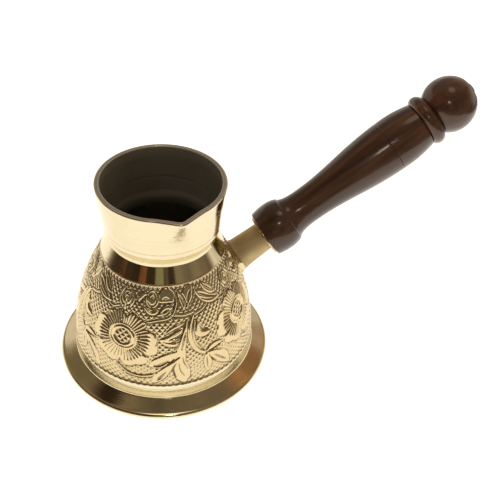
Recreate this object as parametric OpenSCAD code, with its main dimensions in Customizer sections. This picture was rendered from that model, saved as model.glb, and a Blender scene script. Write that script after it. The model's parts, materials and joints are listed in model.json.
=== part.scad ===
// Long-handled coffee pot (cezve): cast brass pot on a wide brazed foot, turned wooden handle
// that screws on to a threaded stud. Z is the pot's axis, the underside of the foot is z = 0,
// the handle points along +X and the pouring lip along -Y. Millimetres.

/* [Foot] */
// Diameter of the wide foot
foot_d = 100; // [94:0.5:130]
// Thickness of the foot at its edge
foot_edge_t = 3; // [2:0.1:4]
// Height at which the belly meets the foot's sloping top
foot_top_z = 7.1; // [6:0.1:10]
// Thickness of the plate under the belly
foot_floor_t = 3; // [2:0.1:4.5]
// Radius of the small cove where the slope meets the belly
foot_cove_r = 1.2; // [0.5:0.1:2]

/* [Belly] */
// Diameter of the belly where it stands on the foot
belly_d = 84.4; // [70:0.2:90]
// Height of the ridge that ends the belly's shoulder
shoulder_z = 66.2; // [55:0.1:80]
// Diameter of that ridge
shoulder_d = 50.2; // [46:0.2:58]
// How far up the belly stays near its full width
belly_fullness = 20.4; // [14:0.2:26]
// Length of the sloping shoulder below the ridge
shoulder_reach = 23.9; // [16:0.1:28]
// Radius lost for each millimetre climbed at the shoulder
shoulder_slope = 0.583; // [0.4:0.01:0.7]
// Wall of belly and neck
wall = 1.8; // [1.2:0.1:2.4]
// Thickness of the belly's own floor
belly_floor_t = 2; // [1.4:0.1:3]

/* [Neck] */
// Diameter of the groove at the waist
waist_d = 47; // [43:0.2:54]
// Height of the groove above the shoulder ridge
waist_rise = 2.8; // [2:0.1:4]
// Diameter of the neck just above its cove
neck_d = 51.6; // [47:0.2:58]
// Height of the neck's start above the shoulder ridge
neck_rise = 10.3; // [8:0.1:13]
// Outer diameter of the rim
rim_d = 56.4; // [52:0.2:64]
// Height of the straight neck, from its cove to the rim
neck_h = 20.2; // [14:0.1:26]
// Rounding on the rim's two edges
rim_round = 0.6; // [0.3:0.1:0.8]

/* [Pouring lip] */
// How far the lip stands out past the rim
lip_out = 3.7; // [1.5:0.1:6]
// Radius of the lip's rounded tip, outside
lip_tip_r = 3; // [2.5:0.1:4]
// How far down the neck the lip fades out
lip_drop = 19; // [8:0.5:19]

/* [Tin lining] */
// Thickness of the tin layer inside
lining_t = 0.4; // [0.2:0.05:0.8]

/* [Handle mounting] */
// Height at which the handle's line crosses the pot's axis
handle_z = 23.2; // [18:0.1:28]
// Tilt of the handle above level
handle_tilt = 32.5; // [28:0.5:38]
// How far the boss's flat end stands clear of the belly, along that line
boss_out = 0.3; // [0.2:0.1:8]
// Diameter of the boss on the belly
boss_d = 16; // [15.2:0.2:22]
// Diameter of the brass stem at the boss
stem_root_d = 15; // [14:0.2:16]
// Diameter of the brass stem at the wood
stem_end_d = 13.6; // [11.4:0.2:16]
// Length of the brass stem
stem_l = 14.8; // [12.5:0.1:24]

/* [Screwed joint] */
// Diameter of the stud over its thread
stud_d = 6; // [5:0.5:8]
// Depth of the stud's hole in the stem
stud_seat = 11; // [8:0.5:12]
// Length of stud that stands out past the washer
stud_grip = 16; // [14:0.5:24]
// Gap all round between the stud and its threads
thread_clear = 0.05; // [0.02:0.01:0.1]
// Gap left between faces that close up when screwed home
seat_gap = 0.05; // [0.02:0.01:0.1]
// Diameter of the brass washer
washer_d = 20; // [18:0.2:22]
// Thickness of the brass washer
washer_t = 1; // [0.8:0.1:2]
// Gap all round between the stud and the washer
washer_clear = 0.3; // [0.2:0.05:0.5]
// Outer diameter of the threaded insert
insert_d = 10; // [9:0.2:12]
// Length of the threaded insert
insert_l = 13; // [10:0.5:16]
// Gap all round between the stud's end and the bore in the wood
bore_clear = 0.5; // [0.3:0.1:1.5]
// Empty depth beyond the stud's end in the wood
bore_spare = 3; // [1:0.5:6]

/* [Wooden grip] */
// Diameter of the wood at its end face
grip_face_d = 22.8; // [20:0.2:26]
// Diameter of the bell's rim
bell_d = 25.2; // [22:0.2:28]
// Length of the bell, from the end face to its rim
bell_l = 8; // [6:0.2:10]
// Diameter of the waist
grip_waist_d = 17.2; // [16:0.2:20]
// Length from the end face to the waist
grip_waist_l = 24; // [22:0.5:32]
// Diameter of the swell
swell_d = 25; // [21:0.2:28]
// Length from the waist to the swell
swell_l = 50; // [38:0.5:62]
// Length from the swell to the bead
taper_l = 13.6; // [10:0.2:18]
// Diameter of the wood just before the bead
taper_d = 21.6; // [19:0.2:24]
// Diameter of the bead
bead_d = 24.6; // [22:0.2:27]
// Width of the bead
bead_w = 7.2; // [5:0.2:9]
// Diameter of the grooves each side of the bead
quirk_d = 19.4; // [17:0.2:21]
// Diameter of the ball
ball_d = 26; // [22:0.2:30]
// Length from the waist to the scribed line
scribe_l = 46.4; // [36:0.1:49]
// Depth of the scribed line
scribe_deep = 0.3; // [0.1:0.05:0.5]

/* [Hidden] */
$fn = 96;

// A cut runs this far past a face, so that it goes clean through.
past = 1;
// Steps in each curved stretch of an outline.
steps = 12;
// Gap all round between the belly's base and its seat in the foot, filled by braze.
seat_clear = 0.1;
// How far the lip's form starts inside the neck's own surface.
lip_root = 0.3;

waist_z = shoulder_z + waist_rise;
neck_z = shoulder_z + neck_rise;
rim_z = neck_z + neck_h;
cavity_floor_z = foot_floor_t + belly_floor_t;

// Stations along the handle's own line.
boss_reach = max([for (i = [0:100]) if (abs(off_line(belly_point(i / 100))) < boss_d / 2)
                  along_line(belly_point(i / 100))]) + boss_out;
stem_end = boss_reach + stem_l;
washer_at = stem_end + seat_gap;
grip_at = washer_at + washer_t + seat_gap;

// The grip's outline, measured from its end face. Each "hold" is the share of a stretch's length
// over which the wood stays near the diameter that it starts or ends with.
bell_start_hold = 0.6;
bell_rim_hold = 1.2;
waist_hold = 0.35;
swell_hold = 0.45;
taper_hold = 0.5;
// How far the bell flares over that first hold, as a share of its two diameters' difference.
bell_flare = 0.4;
// How far the bell's rim stands out in the middle of its curve.
bell_crown = 0.2;
// Length of the turn below the bell's rim, and how full it is.
bell_turn_l = 5.2;
bell_turn_full = 0.3;
// Length over which that turn runs out into the waist, and the straight part of the waist.
bell_run_l = 1.4;
waist_flat_l = 5;
// Length and slope of the last stretch before the bead.
taper_end_l = 2;
taper_end_rise = 0.4;
// How far round the bead's arc goes each way, and how far past the groove the ball's arc starts.
bead_arc = 80;
ball_arc_start = 4;
bell_turn = [(bell_d + grip_waist_d) / 4 + bell_turn_full, bell_l + bell_turn_l];
swell_at = grip_waist_l + swell_l;
bead_at = swell_at + taper_l;
bead_mid = bead_at + bead_w / 2;
bead_end = bead_at + bead_w;
ball_rise = sqrt(pow(ball_d / 2, 2) - pow(quirk_d / 2, 2));
ball_mid = bead_end + ball_rise;
grip_l = ball_mid + ball_d / 2;

// A point on the cubic curve from a to d that leaves along b and arrives along c.
function curve_at(a, b, c, d, t) =
    pow(1 - t, 3) * a + 3 * t * pow(1 - t, 2) * b + 3 * t * t * (1 - t) * c + pow(t, 3) * d;

// The points of such a curve, without its first.
function curve(a, b, c, d) = [for (i = [1:steps]) curve_at(a, b, c, d, i / steps)];

// The points of a circular arc round a centre, from angle p to angle q.
function arc(centre, r, p, q) =
    [for (i = [0:steps]) centre + r * [cos(p + (q - p) * i / steps), sin(p + (q - p) * i / steps)]];

// A point on the belly's side, from the foot at t = 0 to the shoulder ridge at t = 1.
function belly_point(t) =
    curve_at([belly_d / 2, foot_top_z],
             [belly_d / 2, foot_top_z + belly_fullness],
             [shoulder_d / 2 + shoulder_slope * shoulder_reach, shoulder_z - shoulder_reach],
             [shoulder_d / 2, shoulder_z], t);

// How far a point of the belly's side lies along the handle's line, and how far off it.
function along_line(p) = p[0] * cos(handle_tilt) + (p[1] - handle_z) * sin(handle_tilt);
function off_line(p) = (p[1] - handle_z) * cos(handle_tilt) - p[0] * sin(handle_tilt);

// The belly's side drawn in by "skin", from "low" up to the shoulder ridge.
function belly_side(skin, low) = concat(
    [[belly_d / 2 - skin, low]],
    [for (i = [1:steps]) belly_point(i / steps) - [skin, 0]]);

// The neck's side drawn in by "skin", from the waist groove up to height "top".
function neck_side(skin, top) = concat(
    [[waist_d / 2 - skin, waist_z]],
    curve([waist_d / 2 - skin, waist_z],
          [waist_d / 2 - skin, waist_z + (neck_z - waist_z) / 2],
          [neck_d / 2 - skin, neck_z - (neck_z - waist_z) / 2],
          [neck_d / 2 - skin, neck_z]),
    [[rim_d / 2 - skin, top]]);

// The neck and lip together, drawn in by "skin", up to height "top".
module lip_form(skin, top) {
    low_z = rim_z - lip_drop;
    low_r = neck_d / 2 + (rim_d - neck_d) / 2 * (low_z - neck_z) / neck_h;
    hull() {
        translate([0, 0, rim_z - rim_round])
            cylinder(r = rim_d / 2 - skin - lip_root, h = top - rim_z + rim_round);
        translate([0, lip_tip_r - rim_d / 2 - lip_out, rim_z - rim_round])
            cylinder(r = lip_tip_r - skin, h = top - rim_z + rim_round, $fn = 32);
        translate([0, 0, low_z])
            cylinder(r = low_r - skin - lip_root, h = rim_round);
    }
}

// Everything inside a skin of the given thickness over the floor and the walls.
module cavity(skin, floor_z) {
    rotate_extrude()
        polygon(concat([[0, floor_z]], belly_side(skin, floor_z), neck_side(skin, rim_z),
                       [[rim_d / 2 - skin, rim_z + past], [0, rim_z + past]]));
    lip_form(skin, rim_z + past);
}

// Places a child on the handle's line, a distance along it, with Z running out along it.
module on_handle(at) {
    translate([0, 0, handle_z]) rotate([0, 90 - handle_tilt, 0]) translate([0, 0, at]) children();
}

// Cast belly, neck and pouring lip, with the boss that takes the handle.
module pot_body() {
    color("goldenrod") difference() {
        union() {
            rotate_extrude()
                polygon(concat([[0, foot_floor_t]], belly_side(0, foot_floor_t),
                               neck_side(0, rim_z - rim_round),
                               [[rim_d / 2 - rim_round, rim_z], [0, rim_z]]));
            lip_form(0, rim_z);
            on_handle(boss_reach / 2) cylinder(d = boss_d, h = boss_reach / 2);
        }
        cavity(wall, cavity_floor_z);
    }
}

// Wide base disc with a sloping top, brazed on under the belly.
module foot_plate() {
    seat_r = belly_d / 2 + seat_clear;
    edge_r = foot_edge_t / 2;
    color("darkgoldenrod") rotate_extrude()
        polygon(concat(
            [[0, 0]],
            arc([foot_d / 2 - edge_r, edge_r], edge_r, -90, 90),
            arc([seat_r + foot_cove_r, foot_top_z], foot_cove_r, 240, 180),
            [[seat_r, foot_floor_t], [0, foot_floor_t]]));
}

// Thin layer of tin over the inside of the pot.
module tin_lining() {
    color("dimgray") difference() {
        intersection() {
            cavity(wall, cavity_floor_z);
            cylinder(r = foot_d, h = rim_z);
        }
        cavity(wall + lining_t, cavity_floor_z + lining_t);
    }
}

// Tapered brass stem, brazed to the boss and bored for the stud.
module handle_stem() {
    color("khaki") on_handle(boss_reach) difference() {
        cylinder(d1 = stem_root_d, d2 = stem_end_d, h = stem_l);
        translate([0, 0, stem_l - stud_seat])
            cylinder(d = stud_d + 2 * thread_clear, h = stud_seat + past);
    }
}

// Steel stud fixed in the stem; the handle winds on to it.
module handle_stud() {
    color("silver") on_handle(stem_end - stud_seat)
        cylinder(d = stud_d, h = stud_seat + washer_t + stud_grip);
}

// Brass washer between the stem and the wood, loose on the stud.
module stem_washer() {
    color("gold") on_handle(washer_at) difference() {
        cylinder(d = washer_d, h = washer_t);
        translate([0, 0, -past])
            cylinder(d = stud_d + 2 * washer_clear, h = washer_t + 2 * past);
    }
}

// Brass sleeve threaded inside, pressed into the end of the wood.
module thread_insert() {
    color("orange") on_handle(grip_at) difference() {
        cylinder(d = insert_d, h = insert_l);
        translate([0, 0, -past])
            cylinder(d = stud_d + 2 * thread_clear, h = insert_l + 2 * past);
    }
}

// Turned wooden grip: bell, waist, swell, scribed line, bead and ball.
module handle_grip() {
    scribe_at = grip_waist_l + scribe_l;
    color("saddlebrown") on_handle(grip_at) difference() {
        rotate_extrude()
            polygon(concat(
                [[0, 0], [grip_face_d / 2, 0]],
                curve([grip_face_d / 2, 0],
                      [grip_face_d / 2 + bell_flare * (bell_d - grip_face_d), bell_l * bell_start_hold],
                      [bell_d / 2 + bell_crown, bell_l * bell_rim_hold],
                      bell_turn),
                curve(bell_turn,
                      [grip_waist_d / 2 + bell_turn_full, bell_turn[1] + bell_run_l],
                      [grip_waist_d / 2, grip_waist_l - waist_flat_l],
                      [grip_waist_d / 2, grip_waist_l]),
                curve([grip_waist_d / 2, grip_waist_l],
                      [grip_waist_d / 2, grip_waist_l + swell_l * waist_hold],
                      [swell_d / 2, swell_at - swell_l * swell_hold],
                      [swell_d / 2, swell_at]),
                curve([swell_d / 2, swell_at],
                      [swell_d / 2, swell_at + taper_l * taper_hold],
                      [taper_d / 2 + taper_end_rise, bead_at - taper_end_l],
                      [taper_d / 2, bead_at]),
                arc([bead_d / 2 - bead_w / 2, bead_mid], bead_w / 2, -bead_arc, bead_arc),
                [[quirk_d / 2, bead_end]],
                arc([0, ball_mid], ball_d / 2, ball_arc_start - acos(quirk_d / ball_d), 90)));
        translate([0, 0, -past]) cylinder(d = insert_d, h = insert_l + past);
        cylinder(d = stud_d + 2 * bore_clear, h = stud_grip + bore_spare);
        translate([0, 0, scribe_at]) rotate_extrude()
            polygon([[swell_d / 2 - scribe_deep, 0], [swell_d, -swell_d / 2], [swell_d, swell_d / 2]]);
    }
}

pot_body();
foot_plate();
tin_lining();
handle_stem();
handle_stud();
stem_washer();
thread_insert();
handle_grip();
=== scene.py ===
"""Looks for a Turkish coffee pot (cezve): an embossed cast brass pot on a wide turned foot, tinned
inside, with a turned and lacquered wooden handle that screws on to a steel stud."""

import json
import math

import bpy
import numpy as np
from mathutils import Matrix, Vector
from mathutils.bvhtree import BVHTree


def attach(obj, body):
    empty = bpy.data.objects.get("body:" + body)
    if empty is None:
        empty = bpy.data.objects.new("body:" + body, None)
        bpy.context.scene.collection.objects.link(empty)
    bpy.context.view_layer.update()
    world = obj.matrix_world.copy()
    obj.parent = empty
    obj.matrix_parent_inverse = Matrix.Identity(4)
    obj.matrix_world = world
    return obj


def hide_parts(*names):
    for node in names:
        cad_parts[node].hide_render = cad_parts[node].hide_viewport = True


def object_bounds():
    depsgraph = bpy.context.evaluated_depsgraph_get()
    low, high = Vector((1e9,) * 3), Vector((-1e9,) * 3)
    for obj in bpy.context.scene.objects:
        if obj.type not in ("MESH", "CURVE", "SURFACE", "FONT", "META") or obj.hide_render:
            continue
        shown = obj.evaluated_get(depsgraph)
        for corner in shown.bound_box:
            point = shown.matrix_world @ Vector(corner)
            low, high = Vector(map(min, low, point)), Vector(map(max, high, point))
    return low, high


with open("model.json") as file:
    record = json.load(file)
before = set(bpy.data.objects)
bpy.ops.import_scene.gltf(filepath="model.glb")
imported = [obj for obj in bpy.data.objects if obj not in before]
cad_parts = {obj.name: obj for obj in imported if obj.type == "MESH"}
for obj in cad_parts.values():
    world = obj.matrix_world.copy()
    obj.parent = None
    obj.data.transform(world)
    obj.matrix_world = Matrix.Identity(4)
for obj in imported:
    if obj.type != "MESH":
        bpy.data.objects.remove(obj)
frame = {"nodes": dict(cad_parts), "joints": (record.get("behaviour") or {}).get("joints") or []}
cad_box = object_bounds()
scene = bpy.context.scene

MM = 0.001
ON_AXIS = 1e-3  # millimetres from an axis that count as on it

# ---- camera ----
CAMERA_PLACE = Vector((-0.0770, -0.2765, 0.3027))
CAMERA_YAW = math.radians(23.41)
CAMERA_PITCH = math.radians(-40.30)
CAMERA_ROLL = math.radians(3.67)
LENS_MM = 59.92
SENSOR_MM = 36.0


def new_object(name, data):
    made = bpy.data.objects.new(name, data)
    scene.collection.objects.link(made)
    return made


def add_camera():
    data = bpy.data.cameras.new("camera")
    data.lens = LENS_MM
    data.sensor_width = SENSOR_MM
    data.clip_start = 0.01
    camera = new_object("camera", data)
    turn = Matrix.Rotation(-CAMERA_YAW, 4, "Z") @ Matrix.Rotation(math.pi / 2 + CAMERA_PITCH, 4, "X")
    turn = turn @ Matrix.Rotation(CAMERA_ROLL, 4, "Z")
    camera.matrix_world = Matrix.Translation(CAMERA_PLACE) @ turn
    scene.camera = camera


add_camera()


# ---- reading the frame ----
def vertices(node):
    """A CAD node's vertices in millimetres."""
    return np.array([v.co for v in frame["nodes"][node].data.vertices]) / MM


def ray_tree(node):
    mesh = frame["nodes"][node].data
    return BVHTree.FromPolygons([v.co for v in mesh.vertices], [p.vertices for p in mesh.polygons])


turn_joint = next(j for j in frame["joints"] if j["name"] == "handle_turn")
# The handle's own frame: its origin is the washer's inner face, and Z runs out along the handle.
HANDLE_AXIS = Vector(turn_joint["axis"]).normalized()
HANDLE_SIDE = Vector((0, 1, 0))
HANDLE_UP = HANDLE_AXIS.cross(HANDLE_SIDE)
HANDLE_ORIGIN = np.array(turn_joint["pos_m"]) / MM
HANDLE_BASIS = np.array([HANDLE_SIDE, HANDLE_UP, HANDLE_AXIS])
TO_HANDLE = (0, -math.atan2(HANDLE_AXIS.x, HANDLE_AXIS.z), 0)  # turns its axis on to Z


def in_handle(points):
    return (np.asarray(points) - HANDLE_ORIGIN) @ HANDLE_BASIS.T


def on_handle(points):
    return np.asarray(points) @ HANDLE_BASIS + HANDLE_ORIGIN


def off_axis(points):
    return np.hypot(points[:, 0], points[:, 1])


def round_levels(node, handle=False, sector=None):
    """A turned node's vertices as {station: radii}, from a stretch of azimuth if one is given."""
    points = in_handle(vertices(node)) if handle else vertices(node)
    if sector:
        azimuth = np.degrees(np.arctan2(points[:, 1], points[:, 0]))
        points = points[(azimuth > sector[0]) & (azimuth < sector[1])]
    levels = {}
    for radius, station in zip(off_axis(points), points[:, 2]):
        levels.setdefault(round(float(station), 2), []).append(float(radius))
    return dict(sorted(levels.items()))


def outer_side(levels, gap=1.0):
    """The (radius, station) points of a node's outer side. A level that has only the inner side's
    points lies further in than its neighbours by the gap, and is left out."""
    points = [(max(radii), station) for station, radii in levels.items()]
    kept = []
    for i, (radius, station) in enumerate(points):
        near = [points[j][0] for j in (i - 1, i + 1) if 0 <= j < len(points)]
        if min(near) - radius < gap:
            kept.append((radius, station))
    return kept


def corners_only(points, flat=0.004):
    """Leaves out the points that lie on the straight line between their neighbours."""
    kept = [points[0]]
    for here, after in zip(points[1:], points[2:]):
        before = np.array(kept[-1])
        run = np.array(after) - before
        off = np.array(here) - before
        length = np.hypot(*run)
        if length < 1e-9 or abs(run[0] * off[1] - run[1] * off[0]) / length > flat:
            kept.append(here)
    kept.append(points[-1])
    return kept


def through(points, per_span=8):
    """Points along a smooth curve through the given ones (Catmull-Rom)."""
    p = np.array(points, float)
    if len(p) < 3:
        return p
    p = np.vstack([2 * p[0] - p[1], p, 2 * p[-1] - p[-2]])
    t = np.linspace(0, 1, per_span, endpoint=False)[:, None]
    runs = []
    for a, b, c, d in zip(p, p[1:], p[2:], p[3:]):
        bend = (2 * a - 5 * b + 4 * c - d) * t**2 + (3 * b - 3 * c + d - a) * t**3
        runs.append(0.5 * (2 * b + (c - a) * t + bend))
    return np.vstack(runs + [p[-2:-1]])


def smooth_outline(points, per_span=4, corner=24):
    """A finer outline: curved through the given points, but sharp where it turns by a corner, and
    level where it ends on the axis."""
    p = np.array(points, float)
    if p[-1][0] < ON_AXIS:
        mirrored = p[:-1][::-1] * [-1, 1]
        whole = smooth_outline(np.vstack([p, mirrored[:3]]), per_span)
        return whole[whole[:, 0] > -ON_AXIS]
    run, out = [p[0]], []
    for before, here, after in zip(p, p[1:], p[2:]):
        run.append(here)
        a, b = here - before, after - here
        turn = abs(math.degrees(math.atan2(a[0] * b[1] - a[1] * b[0], a @ b)))
        if turn > corner:
            out.append(through(run, per_span))
            run = [here]
    run.append(p[-1])
    out.append(through(run, per_span))
    return np.vstack([out[0]] + [piece[1:] for piece in out[1:]])


# ---- mesh building ----
def add_piece(name, points, faces, body, nodes, slot, crease=38, attributes=None):
    """Makes a mesh from points in millimetres and puts it in its place on a CAD body."""
    mesh = bpy.data.meshes.new(name)
    mesh.from_pydata(np.asarray(points) * MM, [], faces)
    mesh.validate()
    mesh.polygons.foreach_set("use_smooth", [True] * len(mesh.polygons))
    mesh.set_sharp_from_angle(angle=math.radians(crease))
    for key, values in (attributes or {}).items():
        layer = mesh.attributes.new(key, "FLOAT", "POINT")
        layer.data.foreach_set("value", np.asarray(values, np.float32))
    mesh.materials.append(MATERIALS[slot])
    piece = new_object(name, mesh)
    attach(piece, body)
    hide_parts(*nodes)


def stitch(rows):
    """Faces between rows of vertex numbers that each run once round. A row of one is a pole, and
    a row may have a whole number of times as many vertices as its neighbour."""
    faces = []
    for low, high in zip(rows, rows[1:]):
        a, b = len(low), len(high)
        if a == 1 or b == 1:
            ring, pole = (high, low[0]) if a == 1 else (low, high[0])
            for i in range(len(ring)):
                pair = [ring[i], ring[(i + 1) % len(ring)]]
                faces.append([pole] + (pair[::-1] if a == 1 else pair))
            continue
        n = min(a, b)
        for i in range(n):
            lower = [low[(i * (a // n) + k) % a] for k in range(a // n + 1)]
            upper = [high[(i * (b // n) + k) % b] for k in range(b // n + 1)]
            faces.append(lower + upper[::-1])
    return faces


def angles(columns):
    return np.arange(columns) * 2 * math.pi / columns


def ring_points(radius, station, columns):
    """Points round an axis. Radius and station are numbers or one value a column."""
    angle = angles(columns)
    level = np.broadcast_to(station, (columns,))
    return np.stack([radius * np.cos(angle), radius * np.sin(angle), level], 1)


def turned(outline, columns, closed=False):
    """A turned shape from an outline of (radius, station) points."""
    grid = Grid()
    for radius, station in outline:
        grid.row(ring_points(radius, station, 1 if radius < ON_AXIS else columns))
    if closed:
        grid.rows.append(grid.rows[0])
    return grid.finished()[:2]


def rounded(outline, radii, steps=5):
    """Rounds an outline's corners: radii maps a point's number to its rounding."""
    out = []
    p = [np.array(q, float) for q in outline]
    for i, here in enumerate(p):
        radius = radii.get(i)
        if radius is None:
            out.append(here)
            continue
        ways = (p[i - 1] - here, p[(i + 1) % len(p)] - here)
        a, b = (way / np.linalg.norm(way) for way in ways)
        half = math.acos(max(-1, min(1, a @ b))) / 2
        reach = radius / math.tan(half)
        start, end = here + a * reach, here + b * reach
        for k in range(steps + 1):
            t = k / steps
            out.append((1 - t) ** 2 * start + 2 * t * (1 - t) * here + t * t * end)
    return out


def smooth(low, high, x):
    t = np.clip((x - low) / (high - low), 0, 1)
    return t * t * (3 - 2 * t)


# ---- the belly's ornament ----
# It repeats four times round the pot. A point of it is (degrees from a flower's centre, height above
# the underside in millimetres), and every stroke is laid on a raster of heights in millimetres.
REPEAT = 90.0
FLOWER_AZIMUTH = -134.5
MM_PER_DEGREE = 0.663  # round the belly, at about the flower's height
BAND_LOW, BAND_HIGH = 14.2, 61.6
RASTER = 0.1
GROUND_DEPTH = 0.45
DIAMONDS = 23  # of the ground, in one repeat
DIAMOND_HEIGHT = 0.34
FADE = 0.3  # how much lower the diamonds are near the shoulder,
FADE_LOW, FADE_HIGH = 50, 55  # which comes in between these heights
SHAPE_EDGE = -0.36  # height of a shape's outline, which its crown rises from
MOAT_DEPTH = 0.6  # of the sunk line round a shape
FLOWER_HEIGHT = 38.2  # of the flower's centre above the underside
PETALS, RAYS = 6, 42
PETAL_TURN = 3.0  # degrees clockwise, from a petal straight out to the right
PETALS_WIDE, PETALS_HIGH = 16.2, 13.2  # half axes of the petals' outline
PETAL_DROP = 1.6  # of its centre, under the flower's
RING_WIDE, RING_HIGH = 5.9, 5.0  # half axes of the ring in the flower's middle
RING_MM = 5.4  # about its half width, which turns parts of the ring into millimetres
RING_INSIDE = 0.66  # of the ring's own size, where the net begins
RAY_END = 12.8  # from the flower's centre
SOFTENING = 2  # passes that soften the relief as a worn casting is, and
EDGE_PASSES = 24  # passes that find the edges that rubbing brightens


def triangle_wave(v):
    return 1 - np.abs(2 * (v % 1) - 1)


class Relief:
    def __init__(self):
        across = round(REPEAT * MM_PER_DEGREE / RASTER)
        up = round((BAND_HIGH - BAND_LOW) / RASTER) + 1
        degrees = (np.arange(across) + 0.5) * REPEAT / across
        self.x, self.y = np.meshgrid(degrees, np.linspace(BAND_LOW, BAND_HIGH, up))
        a = self.x / REPEAT * DIAMONDS
        b = (self.y - BAND_LOW) / (REPEAT * MM_PER_DEGREE / DIAMONDS)
        diamond = np.minimum(triangle_wave(a + b), triangle_wave(a - b))
        fade = 1 - FADE * smooth(FADE_LOW, FADE_HIGH, self.y)
        self.h = -GROUND_DEPTH + DIAMOND_HEIGHT * fade * smooth(0.0, 0.5, diamond)

    def local(self, centre):
        """Millimetres right of and above a point, the short way round."""
        right = (self.x - centre[0] + REPEAT / 2) % REPEAT - REPEAT / 2
        return right * MM_PER_DEGREE, self.y - centre[1]

    def along(self, points, margin=6.0):
        """For each raster point, its distance from a curve and how far along that is, 0 to 1."""
        line = through(points, 10)
        middle = line.mean(0)
        right, up = self.local(middle)
        line = (line - middle) * [MM_PER_DEGREE, 1]
        reach = np.abs(line).max(0) + margin
        window = (np.abs(right) < reach[0]) & (np.abs(up) < reach[1])
        px, py = right[window], up[window]
        lengths = np.hypot(*np.diff(line, axis=0).T)
        ends = np.concatenate([[0], np.cumsum(lengths)]) / lengths.sum()
        best, at = np.full(px.shape, 1e9), np.zeros(px.shape)
        for i, start in enumerate(line[:-1]):
            d = line[i + 1] - start
            t = np.clip(((px - start[0]) * d[0] + (py - start[1]) * d[1]) / (d @ d), 0, 1)
            distance = np.hypot(px - start[0] - t * d[0], py - start[1] - t * d[1])
            near = distance < best
            best[near] = distance[near]
            at[near] = (ends[i] + t * (ends[i + 1] - ends[i]))[near]
        full, where = np.full(self.h.shape, 1e9), np.zeros(self.h.shape)
        full[window], where[window] = best, at
        return full, where

    def stem(self, points, start_width, end_width):
        """How far each raster point is inside a stem, in millimetres."""
        distance, t = self.along(points)
        return start_width / 2 + (end_width - start_width) / 2 * t - distance

    def leaf(self, points, width, full=0.45):
        """How far inside an almond along a curve, widest at "full" of its length."""
        distance, t = self.along(points)
        s = np.where(t < full, t / full, (1 - t) / (1 - full))
        return width / 2 * np.sin(math.pi / 2 * np.clip(s, 0, 1)) ** 0.8 - distance

    def disc(self, centre, radius):
        right, up = self.local(centre)
        return radius - np.hypot(right, up)

    def lay(self, *shapes, top=0.0, edge=0.55, moat=0.5):
        """Lays shapes, joined into one, over what is there: crowned, with a sunk line round."""
        inside = np.maximum.reduce(shapes)
        edge = min(edge, inside.max())
        cut = smooth(-moat, -0.1, inside)
        sunk = np.minimum(self.h, self.h * (1 - cut) - MOAT_DEPTH * cut)
        cover = smooth(-0.08, 0.06, inside)
        body = SHAPE_EDGE + (top - SHAPE_EDGE) * np.clip(inside / edge, 0, 1) ** 0.5
        self.h = np.where(inside < 0, sunk, self.h) * (1 - cover) + body * cover

    def gouge(self, points, width, depth=0.48):
        """A groove that tapers to nothing at both ends."""
        distance, t = self.along(points)
        half = width / 2 * np.sin(math.pi * np.clip(t, 0, 1)) ** 0.6 + 1e-6
        self.h = self.h - depth * smooth(0, 0.8, 1 - distance / half)

    def petals(self, right, up, r, angle):
        """The flower's petals, each with a notch in its tip, and the seams between them. Returns
        about how far out their outline is."""
        low = up + PETAL_DROP
        way = np.arctan2(low, right)
        oval = PETALS_WIDE * PETALS_HIGH / np.hypot(PETALS_HIGH * np.cos(way), PETALS_WIDE * np.sin(way))
        step = 360 / PETALS
        off = (angle + step / 2 + PETAL_TURN) % step - step / 2
        notch, cleft = 0.05 * np.exp(-(off / 6) ** 2), 0.17 * smooth(17, step / 2, np.abs(off))
        outline = oval * (1 - notch - cleft)
        inside = outline - np.hypot(right, low)
        self.lay(inside, edge=0.8)
        seam = np.radians(step / 2 - np.abs(off)) * r
        self.h -= 0.5 * smooth(0.8, 0.1, seam) * smooth(9.6, 12.0, r) * smooth(0, 0.3, inside)
        return outline + PETAL_DROP

    def flower(self, centre):
        """A dog rose: notched petals with rays cut in them, round a ring with a netted middle."""
        right, up = self.local(centre)
        r, angle = np.hypot(right, up), np.degrees(np.arctan2(up, right))
        outline = self.petals(right, up, r, angle)
        ring = np.hypot(right / RING_WIDE, up / RING_HIGH)
        ray = np.abs(((angle / 360 * RAYS) % 1) - 0.5) * 2
        reach = np.minimum(RAY_END + 0.5 * np.sin(angle * 0.7), outline - 1.4)
        shown = smooth(1.1, 1.25, ring) * smooth(reach, reach - 1.8, r)
        self.h -= 0.5 * smooth(0.72, 0.15, ray) * shown
        self.lay(RING_MM * np.minimum(1 - ring, ring - 0.69), top=0.12, moat=0.3)
        self.netted(right, up, ring)

    def netted(self, right, up, ring, mesh=2.9):
        """The net of small diamonds inside the flower's ring."""
        a, b = (right + up) / mesh + 0.5, (right - up) / mesh + 0.5
        net = -0.5 + 0.5 * smooth(0.0, 0.5, np.minimum(triangle_wave(a), triangle_wave(b)))
        rim = smooth(0.6, RING_INSIDE, ring)
        self.h = np.where(ring < RING_INSIDE, net * (1 - rim) - GROUND_DEPTH * rim, self.h)

    def blurred(self, passes):
        """The heights softened round the repeat and up and down."""
        h = self.h
        for _ in range(passes):
            h = (np.roll(h, 1, 1) + 2 * h + np.roll(h, -1, 1)) / 4
            padded = np.pad(h, ((1, 1), (0, 0)), mode="edge")
            h = (padded[:-2] + 2 * h + padded[2:]) / 4
        return h


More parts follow.
